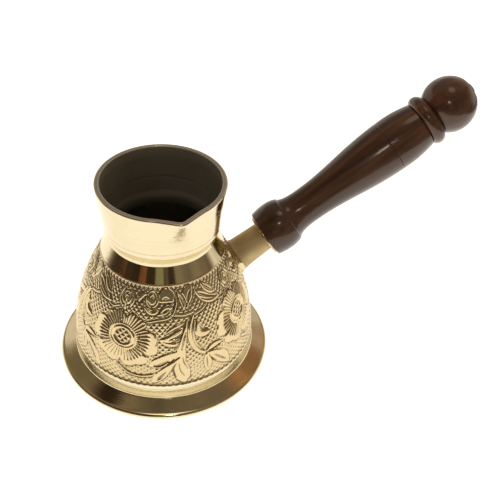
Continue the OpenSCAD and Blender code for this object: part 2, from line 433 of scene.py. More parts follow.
def lower_spray(r):
    """The trunk under the flower, and the spray that droops from the top: curled leaves and fingers."""
    trunk = [(30, 25.5), (25, 22.0), (19, 20.2), (12, 19.3), (4.5, 20.2), (-2, 23.4)]
    r.lay(r.stem(trunk, 1.7, 1.4), moat=0.7)
    r.lay(r.leaf([(44.5, 46.2), (38, 45.0), (33, 43.6), (28.5, 41.4)], 1.6, 0.4))
    r.lay(
        r.leaf([(44.5, 44.6), (38, 41.4), (31.5, 39.4), (25, 39.3)], 3.6, 0.5),
        r.leaf([(41, 38.2), (36, 36.6), (30, 37.2), (25, 39.2)], 2.2, 0.5),
    )
    r.gouge([(42.5, 42.0), (37, 39.9), (31.5, 38.9)], 1.7, 0.6)
    r.lay(
        r.stem([(44.8, 46.5), (42.6, 41.8), (40.6, 37.4), (39, 33.4), (38, 29)], 1.0, 5.0),
        r.leaf([(39, 33.5), (31, 30.4), (24.6, 27.6), (18.4, 25.6)], 5.6, 0.72),
        r.leaf([(36.6, 29.0), (29.4, 23.6), (24.6, 19.4), (20.2, 15.8)], 4.6, 0.7),
        r.leaf([(38.6, 31), (38.6, 26), (39.4, 20.6), (40.6, 14.4)], 6.6, 0.6),
        r.disc((39.6, 19.0), 3.1),
    )
    r.gouge([(31.5, 28.9), (27, 27.1), (23.2, 26.0), (20.8, 26.4)], 2.1)
    r.gouge([(38.4, 30.4), (34, 28.6), (29.5, 26.4)], 1.2)
    r.gouge([(29.6, 22.8), (26, 19.8), (23.2, 17.6)], 1.9)
    r.gouge([(36.4, 27.5), (33.4, 23.8), (35.2, 18.2)], 1.2)
    r.gouge([(39.8, 30.2), (40.4, 26.8), (42.8, 23.2)], 1.6)
    r.gouge([(37.2, 27.4), (38.0, 22.6), (41.0, 18.2)], 1.6)
    r.gouge([(43.6, 42.5), (41.0, 38.0), (39.2, 33.6)], 1.1)


def leaf_trio(r):
    """Two thin stems that fall to the right and end in three leaves, and a curled leaf beside them."""
    r.lay(r.leaf([(51.2, 46.4), (52.0, 41.8), (55.6, 39.2), (61.5, 38.6)], 4.8, 0.5))
    r.gouge([(53.4, 43.2), (55.2, 40.9), (59.6, 39.8)], 2.1, 0.6)
    thin = [(50.6, 45.5), (48.6, 41), (48.4, 37.4), (50.6, 33.4), (54.4, 30.0)]
    r.lay(r.stem(thin, 0.9, 0.9), moat=0.6)
    thick = [(49.6, 48.0), (46.6, 43.6), (45.9, 38.8), (47.6, 34.4), (50.8, 31.2), (54.6, 29.2)]
    r.lay(r.stem(thick, 1.7, 1.9))
    r.lay(
        r.leaf([(55.5, 29.2), (60, 30.6), (65, 31.0), (69.8, 30.6)], 3.0),
        r.leaf([(56.0, 28.6), (56.4, 25), (56.6, 21.4), (56.2, 17.2)], 3.8),
        r.leaf([(56.2, 28.8), (61.4, 26.2), (67.2, 22.2), (73.2, 15.8)], 6.0, 0.55),
    )
    r.gouge([(57.6, 29.2), (62, 29.3), (67, 30.0)], 1.4)
    r.gouge([(56.0, 26.8), (56.0, 23.4), (56.2, 19.6)], 1.9)
    r.gouge([(60.6, 25.9), (65, 22.7), (70.4, 18.6)], 2.2)
    r.gouge([(57.4, 27.6), (59.2, 24.4), (62.4, 21.4)], 1.0, 0.5)


def upper_run(r):
    """The run over the spray: a thin runner, a rose between broad petals, and a long leaf."""
    left_run = [(50.5, 49.6), (43, 49.2), (36.5, 49.7), (30, 48.4), (24, 47.8), (17, 46.8)]
    r.lay(r.stem(left_run, 1.3, 0.9))
    r.lay(r.leaf([(36.4, 55.2), (33, 57.4), (28.5, 57.6), (23.6, 55.4)], 6.4))
    r.gouge([(33.6, 56.2), (30.5, 56.9), (27, 56.2)], 1.1, 0.35)
    r.gouge([(33.8, 54.6), (30.5, 54.8), (27.5, 54.2)], 0.9, 0.3)
    r.lay(r.disc((19.6, 56.4), 3.5))
    r.gouge([(23.4, 55.6), (21.6, 58.4), (18.0, 58.8), (15.8, 56.8)], 1.2, 0.45)
    r.gouge([(15.6, 55.6), (18.2, 53.9), (21.4, 54.2), (23.2, 56.2)], 1.1, 0.45)
    r.gouge([(17.8, 56.6), (19.8, 57.4), (21.4, 56.2)], 1.0, 0.45)
    r.lay(r.leaf([(25.4, 52.2), (21.4, 51.3), (17.4, 51.5), (13.2, 53.0)], 2.6))
    r.gouge([(22.6, 51.7), (19.4, 51.5), (16, 52.1)], 0.9)
    r.lay(r.leaf([(15.4, 58.0), (12.6, 58.2), (10.2, 57.0), (8.6, 54.6)], 2.4))
    r.lay(r.leaf([(35.6, 53.0), (31.6, 52.9), (27.6, 51.4), (23.8, 49.6)], 3.6))
    r.gouge([(33.2, 52.4), (30, 51.8), (26.6, 50.6)], 1.5)
    r.lay(r.stem([(33.6, 61.0), (37.4, 59.0), (38.6, 55.8), (37.2, 52.6), (34.8, 49.8)], 1.2, 1.1))
    right_run = [(52, 48.6), (59, 49.8), (64.5, 51.5), (71, 51.0), (78, 49.6), (84, 51.2)]
    r.lay(r.stem(right_run, 1.2, 0.9))
    r.lay(r.leaf([(46.6, 51.4), (46.0, 54.4), (48.6, 57.8), (53.6, 60.4)], 6.2, 0.55))
    r.gouge([(47.6, 53.6), (48.2, 56.0), (51.0, 58.8)], 1.2, 0.4)
    r.lay(r.leaf([(76.0, 50.8), (69.5, 52.6), (62, 54.8), (54.6, 58.0)], 5.8))
    r.gouge([(72.5, 51.9), (65.5, 53.6), (57.5, 56.6)], 1.8)
    r.gouge([(70, 51.4), (63.5, 52.7), (57.5, 54.6)], 0.9, 0.35)
    r.lay(r.leaf([(73.4, 53.6), (69.4, 55.4), (65.4, 57.6), (61.4, 60.4)], 3.4))
    r.gouge([(71.4, 54.8), (68, 56.6), (64, 58.9)], 1.2)
    r.lay(r.leaf([(43.6, 51), (44.2, 53.5), (42.8, 56.5), (40.0, 59.5)], 2.6))
    r.gouge([(43.8, 53), (43.0, 55.5), (41.4, 57.8)], 1.0)


def bud(r):
    """The tulip bud over the flower, between two thin leaves."""
    r.lay(r.leaf([(84.8, 51.2), (83.4, 54), (83.6, 57), (85.5, 60)], 1.8))
    r.lay(r.leaf([(92.2, 51.2), (93.8, 54), (93.6, 57), (91.5, 60)], 1.8))
    r.lay(r.disc((88.5, 55.2), 3.0))
    r.gouge([(86, 54), (86.6, 56.6), (88.5, 57.3), (90.4, 56.6), (91, 54)], 0.9, 0.4)
    r.lay(r.stem([(88.5, 50.5), (88.5, 53), (88.5, 55.2)], 1.0, 0.8), top=0.08, moat=0.3)


def ornament():
    """The ornament's heights, and how far each point is on an edge that gets rubbed."""
    r = Relief()
    lower_spray(r)
    leaf_trio(r)
    upper_run(r)
    bud(r)
    r.flower((0.0, FLOWER_HEIGHT))
    height = r.blurred(SOFTENING)
    return height, smooth(0.015, 0.07, height - r.blurred(EDGE_PASSES))


# ---- materials ----
def colour(red, green, blue):
    return (red, green, blue, 1.0)


BRASS = colour(0.79, 0.705, 0.485)
BRASS_CAST = colour(0.72, 0.585, 0.335)
BRASS_DEEP = colour(0.62, 0.46, 0.23)
# Dark brown of patina in the hollows, also used for painted shade on the upper belly.
PATINA_AND_SHADE = colour(0.085, 0.050, 0.024)
COFFEE_DARK, COFFEE_LIGHT = colour(0.34, 0.295, 0.205), colour(0.60, 0.53, 0.38)
# Dark coffee stain, also used for painted shade inside the pot.
COFFEE_STAIN_AND_SHADE = colour(0.04, 0.034, 0.022)
BARE_TIN = colour(0.50, 0.44, 0.33)
STEEL_DARK, STEEL_LIGHT = colour(0.42, 0.41, 0.39), colour(0.62, 0.61, 0.59)
WOOD_DARK = colour(0.030, 0.0135, 0.0085)
WOOD_MID = colour(0.062, 0.026, 0.0145)
WOOD_LIGHT = colour(0.145, 0.052, 0.023)
WOOD_GLINT = colour(1.0, 0.78, 0.6)


class Nodes:
    """A short way to write the node tree of a material or a world."""

    def __init__(self, owner):
        owner.use_nodes = True
        self.tree = owner.node_tree
        self.tree.nodes.clear()

    def put(self, socket, value):
        if isinstance(value, bpy.types.NodeSocket):
            self.tree.links.new(value, socket)
        elif value is not None:
            socket.default_value = value

    def add(self, kind, inputs=None, **settings):
        node = self.tree.nodes.new("ShaderNode" + kind)
        for key, value in settings.items():
            setattr(node, key, value)
        for key, value in (inputs or {}).items():
            self.put(node.inputs[key], value)
        return node

    def math(self, operation, a, b=0.0):
        return self.add("Math", {0: a, 1: b}, operation=operation).outputs[0]

    def plus(self, a, b):
        return self.math("ADD", a, b)

    def times(self, a, b):
        return self.math("MULTIPLY", a, b)

    def swing(self, noise, amount):
        """A noise's swing about its middle, made smaller or larger."""
        return self.times(self.math("SUBTRACT", noise, 0.5), amount)

    def mix(self, factor, a, b, blend="MIX"):
        inputs = {"Factor": factor, 6: a, 7: b}
        return self.add("Mix", inputs, data_type="RGBA", blend_type=blend).outputs[2]

    def blend(self, factor, a, b):
        return self.add("Mix", {"Factor": factor, 2: a, 3: b}, data_type="FLOAT").outputs[0]

    def span(self, value, low, high, to_low=0.0, to_high=1.0):
        inputs = {"Value": value, "From Min": low, "From Max": high, "To Min": to_low, "To Max": to_high}
        return self.add("MapRange", inputs, interpolation_type="SMOOTHSTEP").outputs[0]

    def noise(self, vector, scale, detail=4.0, rough=0.55, distortion=0.0):
        inputs = {"Vector": vector, "Scale": scale, "Detail": detail, "Roughness": rough}
        return self.add("TexNoise", {**inputs, "Distortion": distortion}).outputs["Fac"]

    def attribute(self, name):
        return self.add("Attribute", attribute_name=name).outputs["Fac"]

    def place(self):
        return self.add("TexCoord").outputs["Object"]

    def mapped(self, vector, scale=(1, 1, 1), rotation=(0, 0, 0)):
        inputs = {"Vector": vector, "Scale": scale, "Rotation": rotation}
        return self.add("Mapping", inputs).outputs[0]

    def bump(self, height, strength, distance, normal=None):
        inputs = {"Height": height, "Strength": strength, "Distance": distance, "Normal": normal}
        return self.add("Bump", inputs).outputs[0]


class Material(Nodes):
    """A material with only an output and a Principled shader."""

    def __init__(self, name):
        self.material = bpy.data.materials.new(name)
        super().__init__(self.material)
        self.shader = self.add("BsdfPrincipled")
        self.add("OutputMaterial", {"Surface": self.shader.outputs[0]})

    def surface(self, inputs):
        """Sets the shader's inputs and returns the material."""
        for key, value in inputs.items():
            self.put(self.shader.inputs[key], value)
        return self.material


def cast_brass():
    """Antiqued casting: bright where it is rubbed, dark brown where the polish never reached, and
    darkened by painted shade over the upper belly.
    """
    n = Material("cast_brass")
    place = n.place()
    # The first attribute carries patina in the hollows and painted shade over the upper belly.
    cavity, polish = n.attribute("cavity"), n.attribute("polish")
    cast = n.math("SUBTRACT", 1.0, polish)
    worn = n.plus(n.swing(n.noise(place, 90, 5), 0.5), cavity)
    worn = n.plus(n.swing(n.noise(place, 1400, 3), 0.3), worn)
    # Patina where the polish never reached, together with painted shade on the upper belly.
    tarnish_and_shade = n.times(n.span(worn, 0.25, 0.95), cast)
    stain = n.span(n.noise(place, 45, 6, 0.65), 0.45, 0.8)
    metal = n.mix(n.times(stain, 0.35), n.mix(polish, BRASS_CAST, BRASS), BRASS_DEEP)
    rough = n.plus(n.blend(polish, 0.15, 0.08), n.times(stain, 0.1))
    turned_marks = n.swing(n.noise(n.mapped(place, (18, 18, 2600)), 1.0, 2), polish)
    cast_marks = n.times(n.noise(place, 900, 3), cast)
    return n.surface({
        "Base Color": n.mix(n.times(tarnish_and_shade, 0.93), metal, PATINA_AND_SHADE),
        "Metallic": n.blend(tarnish_and_shade, 1.0, 0.55),
        "Roughness": n.blend(tarnish_and_shade, rough, 0.5),
        "Normal": n.bump(cast_marks, 0.25, 0.0002, n.bump(turned_marks, 0.25, 0.00012)),
    })


def turned_brass(name, roughness, shade=1.0):
    """Brass turned about the handle's axis: fine rings and a few stains."""
    n = Material(name)
    place = n.mapped(n.place(), rotation=TO_HANDLE)
    stain = n.span(n.noise(place, 60, 6, 0.65), 0.45, 0.8)
    clean, deep = (colour(*(c * shade for c in paint[:3])) for paint in (BRASS_CAST, BRASS_DEEP))
    lines = n.noise(n.mapped(place, (12, 12, 2200)), 1.0, 2)
    return n.surface({
        "Base Color": n.mix(n.times(stain, 0.5), clean, deep),
        "Metallic": 1.0,
        "Roughness": n.plus(n.times(stain, 0.12), roughness),
        "Normal": n.bump(lines, 0.2, 0.0001),
    })


def foot_brass():
    """The foot's top is turned, so its rings go by distance from the pot's axis."""
    n = Material("foot_brass")
    place = n.place()
    x, y, z = n.add("SeparateXYZ", {0: place}).outputs
    flat = n.add("CombineXYZ", {0: x, 1: y}).outputs[0]
    radius = n.add("VectorMath", {0: flat}, operation="LENGTH").outputs["Value"]
    rings = n.add("CombineXYZ", {0: radius, 2: n.times(z, 0.5)}).outputs[0]
    lines = n.noise(n.mapped(rings, (1900, 1, 1900)), 1.0, 3)
    stain = n.span(n.noise(place, 55, 6, 0.68), 0.42, 0.85)
    return n.surface({
        "Base Color": n.mix(n.times(stain, 0.7), BRASS, BRASS_DEEP),
        "Metallic": 1.0,
        "Roughness": n.plus(n.times(stain, 0.16), 0.11),
        "Normal": n.bump(lines, 0.3, 0.0001),
    })


def tinned_lining():
    """Old wiped tin, darkened by coffee and by painted shade, and left lighter near the pot's floor as
    painted light.
    """
    n = Material("tinned_lining")
    place = n.place()
    cloud = n.noise(place, 40, 6, 0.6)
    streak = n.noise(n.mapped(place, (60, 60, 700)), 1.0, 3)
    tone = n.span(n.plus(n.times(cloud, 0.7), n.times(streak, 0.3)), 0.3, 0.7)
    # The attribute here is coffee stain with painted shade, and painted light where it thins near the
    # floor.
    coffee = n.mix(n.attribute("cavity"), n.mix(tone, COFFEE_DARK, COFFEE_LIGHT), COFFEE_STAIN_AND_SHADE)
    worn = n.attribute("polish")
    return n.surface({
        "Base Color": n.mix(worn, coffee, BARE_TIN),
        "Metallic": n.blend(n.math("MAXIMUM", tone, worn), 0.15, 0.6),
        "Roughness": n.blend(tone, 0.55, 0.34),
        "Normal": n.bump(streak, 0.2, 0.00015),
    })


def plain_steel():
    n = Material("steel")
    place = n.place()
    cloud = n.noise(place, 220, 4)
    return n.surface({
        "Base Color": n.mix(cloud, STEEL_DARK, STEEL_LIGHT),
        "Metallic": 1.0,
        "Roughness": n.span(cloud, 0.2, 0.8, 0.22, 0.38),
        "Normal": n.bump(n.noise(place, 2500, 2), 0.1, 0.0001),
    })


def lacquered_wood():
    """Dark stained hardwood under a thick gloss lacquer, its grain running along the handle."""
    n = Material("lacquered_wood")
    grain = n.mapped(n.place(), rotation=TO_HANDLE)
    sway = n.noise(n.mapped(grain, (30, 30, 8)), 1.0, 3)
    figure = n.noise(n.mapped(grain, (190, 190, 9)), 1.0, 6, 0.6, 0.6)
    pores = n.noise(n.mapped(grain, (1500, 1500, 60)), 1.0, 2)
    streak = n.plus(n.times(sway, 0.45), n.times(figure, 0.55))
    low = n.mix(n.span(streak, 0.36, 0.54), WOOD_DARK, WOOD_MID)
    body = n.mix(n.span(streak, 0.5, 0.7), low, WOOD_LIGHT)
    dark_pores = n.times(n.span(pores, 0.62, 0.72), 0.6)
    waves = n.noise(n.mapped(grain, (140, 140, 30)), 1.0, 2)
    normal = n.bump(n.plus(n.times(waves, 0.7), n.times(pores, 0.12)), 0.25, 0.0003)
    return n.surface({
        "Base Color": n.mix(dark_pores, body, WOOD_DARK),
        "Roughness": n.span(figure, 0.3, 0.7, 0.3, 0.45),
        "Specular IOR Level": 0.4,
        "Specular Tint": WOOD_GLINT,
        "Coat Weight": 0.7,
        "Coat Roughness": 0.12,
        "Coat IOR": 1.5,
        "Normal": normal,
        "Coat Normal": normal,
    })


MATERIALS = {
    "cast_brass": cast_brass(),
    "foot_brass": foot_brass(),
    "stem_brass": turned_brass("stem_brass", 0.64, 0.92),
    "sheet_brass": turned_brass("sheet_brass", 0.16),
    "tinned_lining": tinned_lining(),
    "steel": plain_steel(),
    "lacquered_wood": lacquered_wood(),
}

# ---- the pot ----
CLEAN_SECTOR = (100, 170)  # degrees of the pot's side with neither lip nor boss
FINE, COARSE = 800, 200  # columns round the ornament, and round the rest
ROW = 0.34  # millimetres between rows in the ornament
SHADE_FILM = 0.62  # painted shade: a brown layer over the upper belly that stands in for its dark reflection of the dim room,
SHADE_FILM_LOW, SHADE_FILM_HIGH = 40, 52  # which comes in between these heights
HOLLOW = 0.72  # darkness of a hollow low on the belly, full near the shoulder
FINE_LOW, FINE_HIGH = BAND_LOW - 0.6, BAND_HIGH + 1.6  # where the fine rows start and end
BORDER_GROOVE, BORDER_BEAD = 0.25, 0.12  # under the ornament, and over it
LIP_AZIMUTH, LIP_REACH = 270, 75  # degrees: its middle, and how far to each side it may show
LIP_SOFTNESS = 1.6  # degrees
LIP_EASE = 0.6  # how gently the lip starts to lean out, 0 for a straight lean
BOSS_REACH = 30  # from the stem's root inwards, where the belly may be drawn out
OUTSIDE = 0.1  # metres from the pot's axis, where rays that look inwards start
NECK_STAIN_AND_SHADE, WALL_STAIN, SHOULDER_SHADE = 0.64, 0.58, 0.34  # of coffee inside the pot, deepened at the neck as painted shade; the shoulder's share is all painted shade
LATHE_RINGS = ((15.0, 0.12), (3.6, 0.08))  # inside the neck: how far down, and how deep
HAIR = 0.02  # keeps touching surfaces apart


def lining_sides():
    """The lining's outer and inner outlines: each level above its floor has both radii."""
    levels = round_levels("tin_lining", sector=CLEAN_SECTOR)
    low, floor_top = sorted(levels)[:2]
    both = [(max(r), min(r), z) for z, r in levels.items() if max(r) - min(r) > 0.1]
    outer = [(max(levels[low]), low)] + [(r, z) for r, _, z in both]
    inner = [(min(levels[floor_top]), floor_top)] + [(r, z) for _, r, z in both]
    return corners_only(outer), corners_only(inner)


pot_outer = corners_only(outer_side(round_levels("pot_body", sector=CLEAN_SECTOR)))
pot_inner, lining_inner = lining_sides()
rim_z = max(z for _, z in pot_outer)
rim_r = max(r for r, z in pot_outer if z > rim_z - 5)
stem_root = float(in_handle(vertices("handle_stem"))[:, 2].min())
neck_foot = next(z for r, z in pot_outer if z > BAND_HIGH + 10 and r > rim_r - 2.5)
lip_low = neck_foot + 0.8
# The lathe's marks on the neck: height, depth and half width.
NECK_MARKS = [(neck_foot + up, depth, width) for up, depth, width in (
    (0, 0.16, 0.28), (1.5, 0.10, 0.2), (6.6, 0.03, 0.14), (9.7, 0.025, 0.14))]


def above_floor(outline):
    """The points of an outline of the pot's inside between its axis and the lip."""
    return [(r, z) for r, z in outline if z < lip_low and r > 1]


def neck_groove(z):
    return sum(depth * math.exp(-((z - at) / width) ** 2) for at, depth, width in NECK_MARKS)


def boss_radius():
    """The radius of the boss's flat end, which lies square to the handle where the stem starts."""
    points = in_handle(vertices("pot_body"))
    off = off_axis(points)
    stem_r = max(round_levels("handle_stem", handle=True)[round(stem_root, 2)])
    return off[(np.abs(points[:, 2] - stem_root) < 0.02) & (off < 1.5 * stem_r)].max()


def lip_extra(tree, base, levels, outward):
    """How far the lip stands out past a round neck, for each level and column, from the CAD."""
    out = np.zeros((len(levels), COARSE))
    for i, z in enumerate(levels):
        for k, a in enumerate(angles(COARSE)):
            if abs((math.degrees(a) - LIP_AZIMUTH + 180) % 360 - 180) > LIP_REACH:
                continue
            way = Vector((math.cos(a), math.sin(a), 0))
            start = Vector((0, 0, z * MM)) + way * (0 if outward else OUTSIDE)
            hit = tree.ray_cast(start, way if outward else -way)[0]
            if hit:
                out[i, k] = max(0.0, hit.xy.length / MM - base[i])
    reach = round(4 * LIP_SOFTNESS / 360 * COARSE)
    steps = np.arange(-reach, reach + 1) * 360 / COARSE
    weights = np.exp(-0.5 * (steps / LIP_SOFTNESS) ** 2)
    weights /= weights.sum()
    return sum(w * np.roll(out, k - reach, 1) for k, w in enumerate(weights))


def side_rows(tree, outline, low, high, count, outward):
    """Rows of points up a side that carries the lip."""
    z = np.linspace(low, high, count)
    if outward:
        beside = [at + k * width for at, _, width in NECK_MARKS for k in range(-2, 3)]
        z = np.unique(np.append(z, [level for level in beside if low < level < high]))
    radius = np.interp(z, outline[:, 1], outline[:, 0])
    extra = lip_extra(tree, radius, z, outward)
    extra *= (((z - lip_low) / (rim_z - lip_low)) ** LIP_EASE)[:, None]
    return [ring_points(r + e, level, COARSE) for r, e, level in zip(radius, extra, z)]


class Grid:
    """Points and rows of a mesh that goes round the pot."""

    def __init__(self):
        self.points, self.rows, self.extra = [], [], {"cavity": [], "polish": []}

    def row(self, ring, cavity=0.0, polish=1.0):
        start = sum(len(p) for p in self.points)
        self.points.append(ring)
        self.rows.append(list(range(start, start + len(ring))))
        for key, value in (("cavity", cavity), ("polish", polish)):
            self.extra[key].append(np.broadcast_to(value, (len(ring),)))

    def pole(self, z, polish=1.0):
        self.row(np.array([[0.0, 0.0, z]]), polish=polish)

    def finished(self):
        extra = {key: np.concatenate(parts) for key, parts in self.extra.items()}
        return np.vstack(self.points), stitch(self.rows), extra


def press_boss(ring, radius, fillet=0.9):
    """Draws a ring of the belly out along the handle's line to the boss's flat end."""
    local = in_handle(ring)
    off = off_axis(local)
    near = (local[:, 2] > stem_root - BOSS_REACH) & (off < radius + fillet)
    lift = smooth(radius + fillet * 0.6, radius - fillet * 0.4, off) * near
    local[:, 2] += (stem_root - local[:, 2]) * lift
    return on_handle(local), lift


def sample(tile, azimuth, z):
    """The ornament's height at each azimuth of one level."""
    x = ((azimuth - FLOWER_AZIMUTH) % REPEAT) / REPEAT * tile.shape[1] - 0.5
    y = np.clip((z - BAND_LOW) / (BAND_HIGH - BAND_LOW) * (tile.shape[0] - 1), 0, tile.shape[0] - 1.001)
    i, j = np.floor(x).astype(int), int(y)
    fx, fy = x - i, y - j
    a, b = i % tile.shape[1], (i + 1) % tile.shape[1]
    low, high = (tile[k, a] * (1 - fx) + tile[k, b] * fx for k in (j, j + 1))
    return low * (1 - fy) + high * fy


def belly_rows(grid, outline):
    """The ornament's rows, each pushed in or out along the belly's own normal."""
    tile, edges = ornament()
    lengths = np.concatenate([[0], np.cumsum(np.hypot(*np.diff(outline, axis=0).T))])
    first, last = np.interp([FINE_LOW, FINE_HIGH], outline[:, 1], lengths)
    azimuth = np.arange(FINE) * 360 / FINE
    boss = boss_radius()
    for step in np.arange(first, last, ROW):
        (r, ahead_r), (z, ahead_z) = (np.interp([step, step + 0.5], lengths, axis) for axis in outline.T)
        slope = math.atan2(r - ahead_r, ahead_z - z)
        normal = (math.cos(slope), math.sin(slope))
        shown = smooth(BAND_LOW - 0.35, BAND_LOW + 0.1, z) * smooth(BAND_HIGH, BAND_HIGH - 0.5, z)
        height = sample(tile, azimuth, z) * shown
        height -= BORDER_GROOVE * smooth(0.8, 0.2, abs(z - BAND_LOW - 0.6))
        height += BORDER_BEAD * smooth(0.5, 0.2, abs(z - BAND_HIGH))
        local = in_handle(ring_points(r, z, FINE))
        by_boss = local[:, 2] > stem_root - BOSS_REACH
        height *= np.where(by_boss, smooth(boss + 0.7, boss + 1.8, off_axis(local)), 1)
        ring = ring_points(r + height * normal[0], z + height * normal[1], FINE)
        ring, lift = press_boss(ring, boss)
        band = smooth(BAND_LOW - 0.5, BAND_LOW, z) * smooth(BAND_HIGH + 0.6, BAND_HIGH, z)
        upper = smooth(SHADE_FILM_LOW, SHADE_FILM_HIGH, z)
        hollow = smooth(0.16, 0.5, -height) * (HOLLOW + (1 - HOLLOW) * upper)
        # Painted shade: a brown layer darkens the upper belly as its reflection of the dim room would,
        # less on rubbed edges.
        painted_film_shade = SHADE_FILM * upper * (1 - 0.8 * sample(edges, azimuth, z))
        grid.row(ring, np.maximum(hollow, painted_film_shade), 1 - band * (1 - lift * 0.6))


def rim_rows(ring, wall, round_out=0.6, round_in=0.12):
    """Rows over the rim from its outer edge to its inner edge, each edge with its rounding."""
    outward = ring.copy()
    outward[:, 2] = 0
    radius = np.linalg.norm(outward, axis=1, keepdims=True)
    outward /= radius
    rows = []
    for a in (math.pi / 2 * k / 6 for k in range(7)):
        rows.append((round_out * (1 - math.cos(a)), round_out * (1 - math.sin(a))))
    for a in (math.pi / 2 * k / 3 for k in range(4)):
        rows.append((wall - round_in * (1 - math.sin(a)), round_in * (1 - math.cos(a))))
    return [outward * (radius - inset) + [0, 0, rim_z - drop] for inset, drop in rows]


def pot_body():
    tree = ray_tree("pot_body")
    outline = smooth_outline([p for p in pot_outer if p[1] < rim_z - 0.3])
    grid = Grid()
    foot_r, floor_z = outline[0]
    grid.pole(floor_z)
    grid.row(ring_points(foot_r / 2, floor_z, COARSE))
    for r, z in outline:
        if z < FINE_LOW - 0.1:
            grid.row(ring_points(r, z, COARSE))
    belly_rows(grid, outline)
    for r, z in outline:
        if FINE_HIGH + 0.1 < z < lip_low:
            groove = neck_groove(z)
            ring, _ = press_boss(ring_points(r, z, COARSE), boss_radius())
            ring[:, :2] *= 1 - groove / r
            grid.row(ring, 2.4 * groove)
    upper = side_rows(tree, outline, lip_low, rim_z - 0.7, 34, False)
    for ring in upper:
        groove = neck_groove(ring[0, 2])
        ring[:, :2] *= 1 - groove / rim_r
        grid.row(ring, min(0.5, 12 * groove), 1 - min(1.0, 12 * groove))
    near_rim = [np.interp(rim_z - 1, *np.array(side).T[::-1]) for side in (pot_outer, pot_inner)]
    for ring in rim_rows(upper[-1], near_rim[0] - near_rim[1]):
        grid.row(ring)
    inner = smooth_outline(pot_inner, 3) + [HAIR, 0]
    for ring in side_rows(tree, inner, lip_low, rim_z - 0.6, 20, True)[::-1]:
        grid.row(ring)
    for r, z in above_floor(inner[::-1]):
        grid.row(ring_points(r, z, COARSE))
    grid.pole(inner[0][1])
    points, faces, extra = grid.finished()
    add_piece("pot_body_embossed", points, faces, "pot", ["pot_body"], "cast_brass", 50, extra)


pot_body()


def tin_lining():
    """A thin wiped layer: its inner face shows, with a few rings left by the lathe."""
    tree = ray_tree("tin_lining")
    outer, inner = smooth_outline(pot_inner, 3), smooth_outline(lining_inner, 3)
    grid = Grid()
    grid.pole(outer[0][1])
    for r, z in above_floor(outer):
        grid.row(ring_points(r - HAIR, z, COARSE), polish=0.0)
    skin_out = side_rows(tree, outer - [HAIR, 0], lip_low, rim_z - 0.04, 20, False)
    for ring in skin_out:
        grid.row(ring, polish=smooth(0.9, 0.3, rim_z - ring[0, 2]))
    skin_in = side_rows(tree, inner, lip_low, rim_z - 0.15, 36, True)
    for ring in skin_in[::-1]:
        down = rim_z - ring[0, 2]
        mark = sum(deep * math.exp(-((down - at) / 0.3) ** 2) for at, deep in LATHE_RINGS)
        ring[:, :2] *= 1 + mark / inner[-1][0]
        rubbed = max(smooth(0.9, 0.3, down), 0.16 * smooth(4.4, 3.2, down))
        # The neck's coffee stain, deepened as painted shade.
        grid.row(ring, NECK_STAIN_AND_SHADE, polish=rubbed)
    for r, z in above_floor(inner[::-1]):
        # Coffee stain with painted shade over the shoulder, thinning to none near the floor as painted
        # light where the deep floor lies in shadow.
        shoulder = smooth(neck_foot, neck_foot - 4, z) * smooth(30, 50, z)
        stain = (WALL_STAIN + SHOULDER_SHADE * shoulder) * smooth(8, 40, z)
        grid.row(ring_points(r, z, COARSE), stain, polish=0.0)
    grid.pole(inner[0][1], polish=0.0)
    points, faces, extra = grid.finished()
    add_piece("tin_lining_wiped", points, faces, "pot", ["tin_lining"], "tinned_lining", 50, extra)


tin_lining()


def foot_plate():
    levels = round_levels("foot_plate")
    outer = smooth_outline(corners_only([(max(r), z) for z, r in levels.items()]), 5)
    outer[:, 0] -= HAIR
    belly_r, seat = pot_outer[0]
    belly_r -= HAIR
    outline = [(r, 0) for r in (0, 15, 30, 40)] + [tuple(p) for p in outer]
    outline += [(belly_r, outer[-1][1]), (belly_r, seat), (0, seat)]
    points, faces = turned(outline, 288)
    add_piece("foot_plate_turned", points, faces, "pot", ["foot_plate"], "foot_brass", 40)


foot_plate()

# ---- the screwed joint ----
THREAD_PITCH = 1.0
THREAD_DEPTH = 0.55
THREAD_PLAY = 0.06
TURN_STEPS = 60  # columns round the stud, and half as many as round the insert
KNURLS = 24
BRAZE = 0.35  # fillet where the stem meets the boss


def ends_of(node):
    """A handle part's levels, and its first and last stations."""
    levels = round_levels(node, handle=True)
    return levels, min(levels), max(levels)


def up_thread(low, high):
    """Stations up a thread, each with how far it is from the nearer end."""
    return [(z, min(z - low, high - z)) for z in np.arange(low, high + 1e-6, THREAD_PITCH / 12)]


def thread(angle, station, crest):
    """A right-hand thread's radius at each angle (radians) of one station."""
    phase = (station / THREAD_PITCH - angle / (2 * math.pi)) % 1
    rise = smooth(0.08, 0.42, phase) * smooth(0.92, 0.58, phase)
    return crest - THREAD_DEPTH * (1 - rise)


def handle_stem():
    levels, root, end = ends_of("handle_stem")
    root_r, end_r, bore = max(levels[root]), max(levels[end]), min(levels[end])
    seat = min(z for z, r in levels.items() if min(r) < bore + 0.01)
    outline = [(0, root), (root_r + BRAZE, root), (root_r + 0.1, root + 0.5), (root_r, root + 1.0)]
    for t in np.linspace(0.1, 0.95, 12):
        outline.append((root_r + (end_r - root_r) * t, root + (end - root) * t))
    rim = len(outline)
    outline += [(end_r, end), (bore, end), (bore, seat), (0, seat - 0.8)]
    points, faces = turned(rounded(outline, {rim: 0.35, rim + 1: 0.2}), 96)
    add_piece("handle_stem_turned", on_handle(points), faces, "pot", ["handle_stem"], "stem_brass")


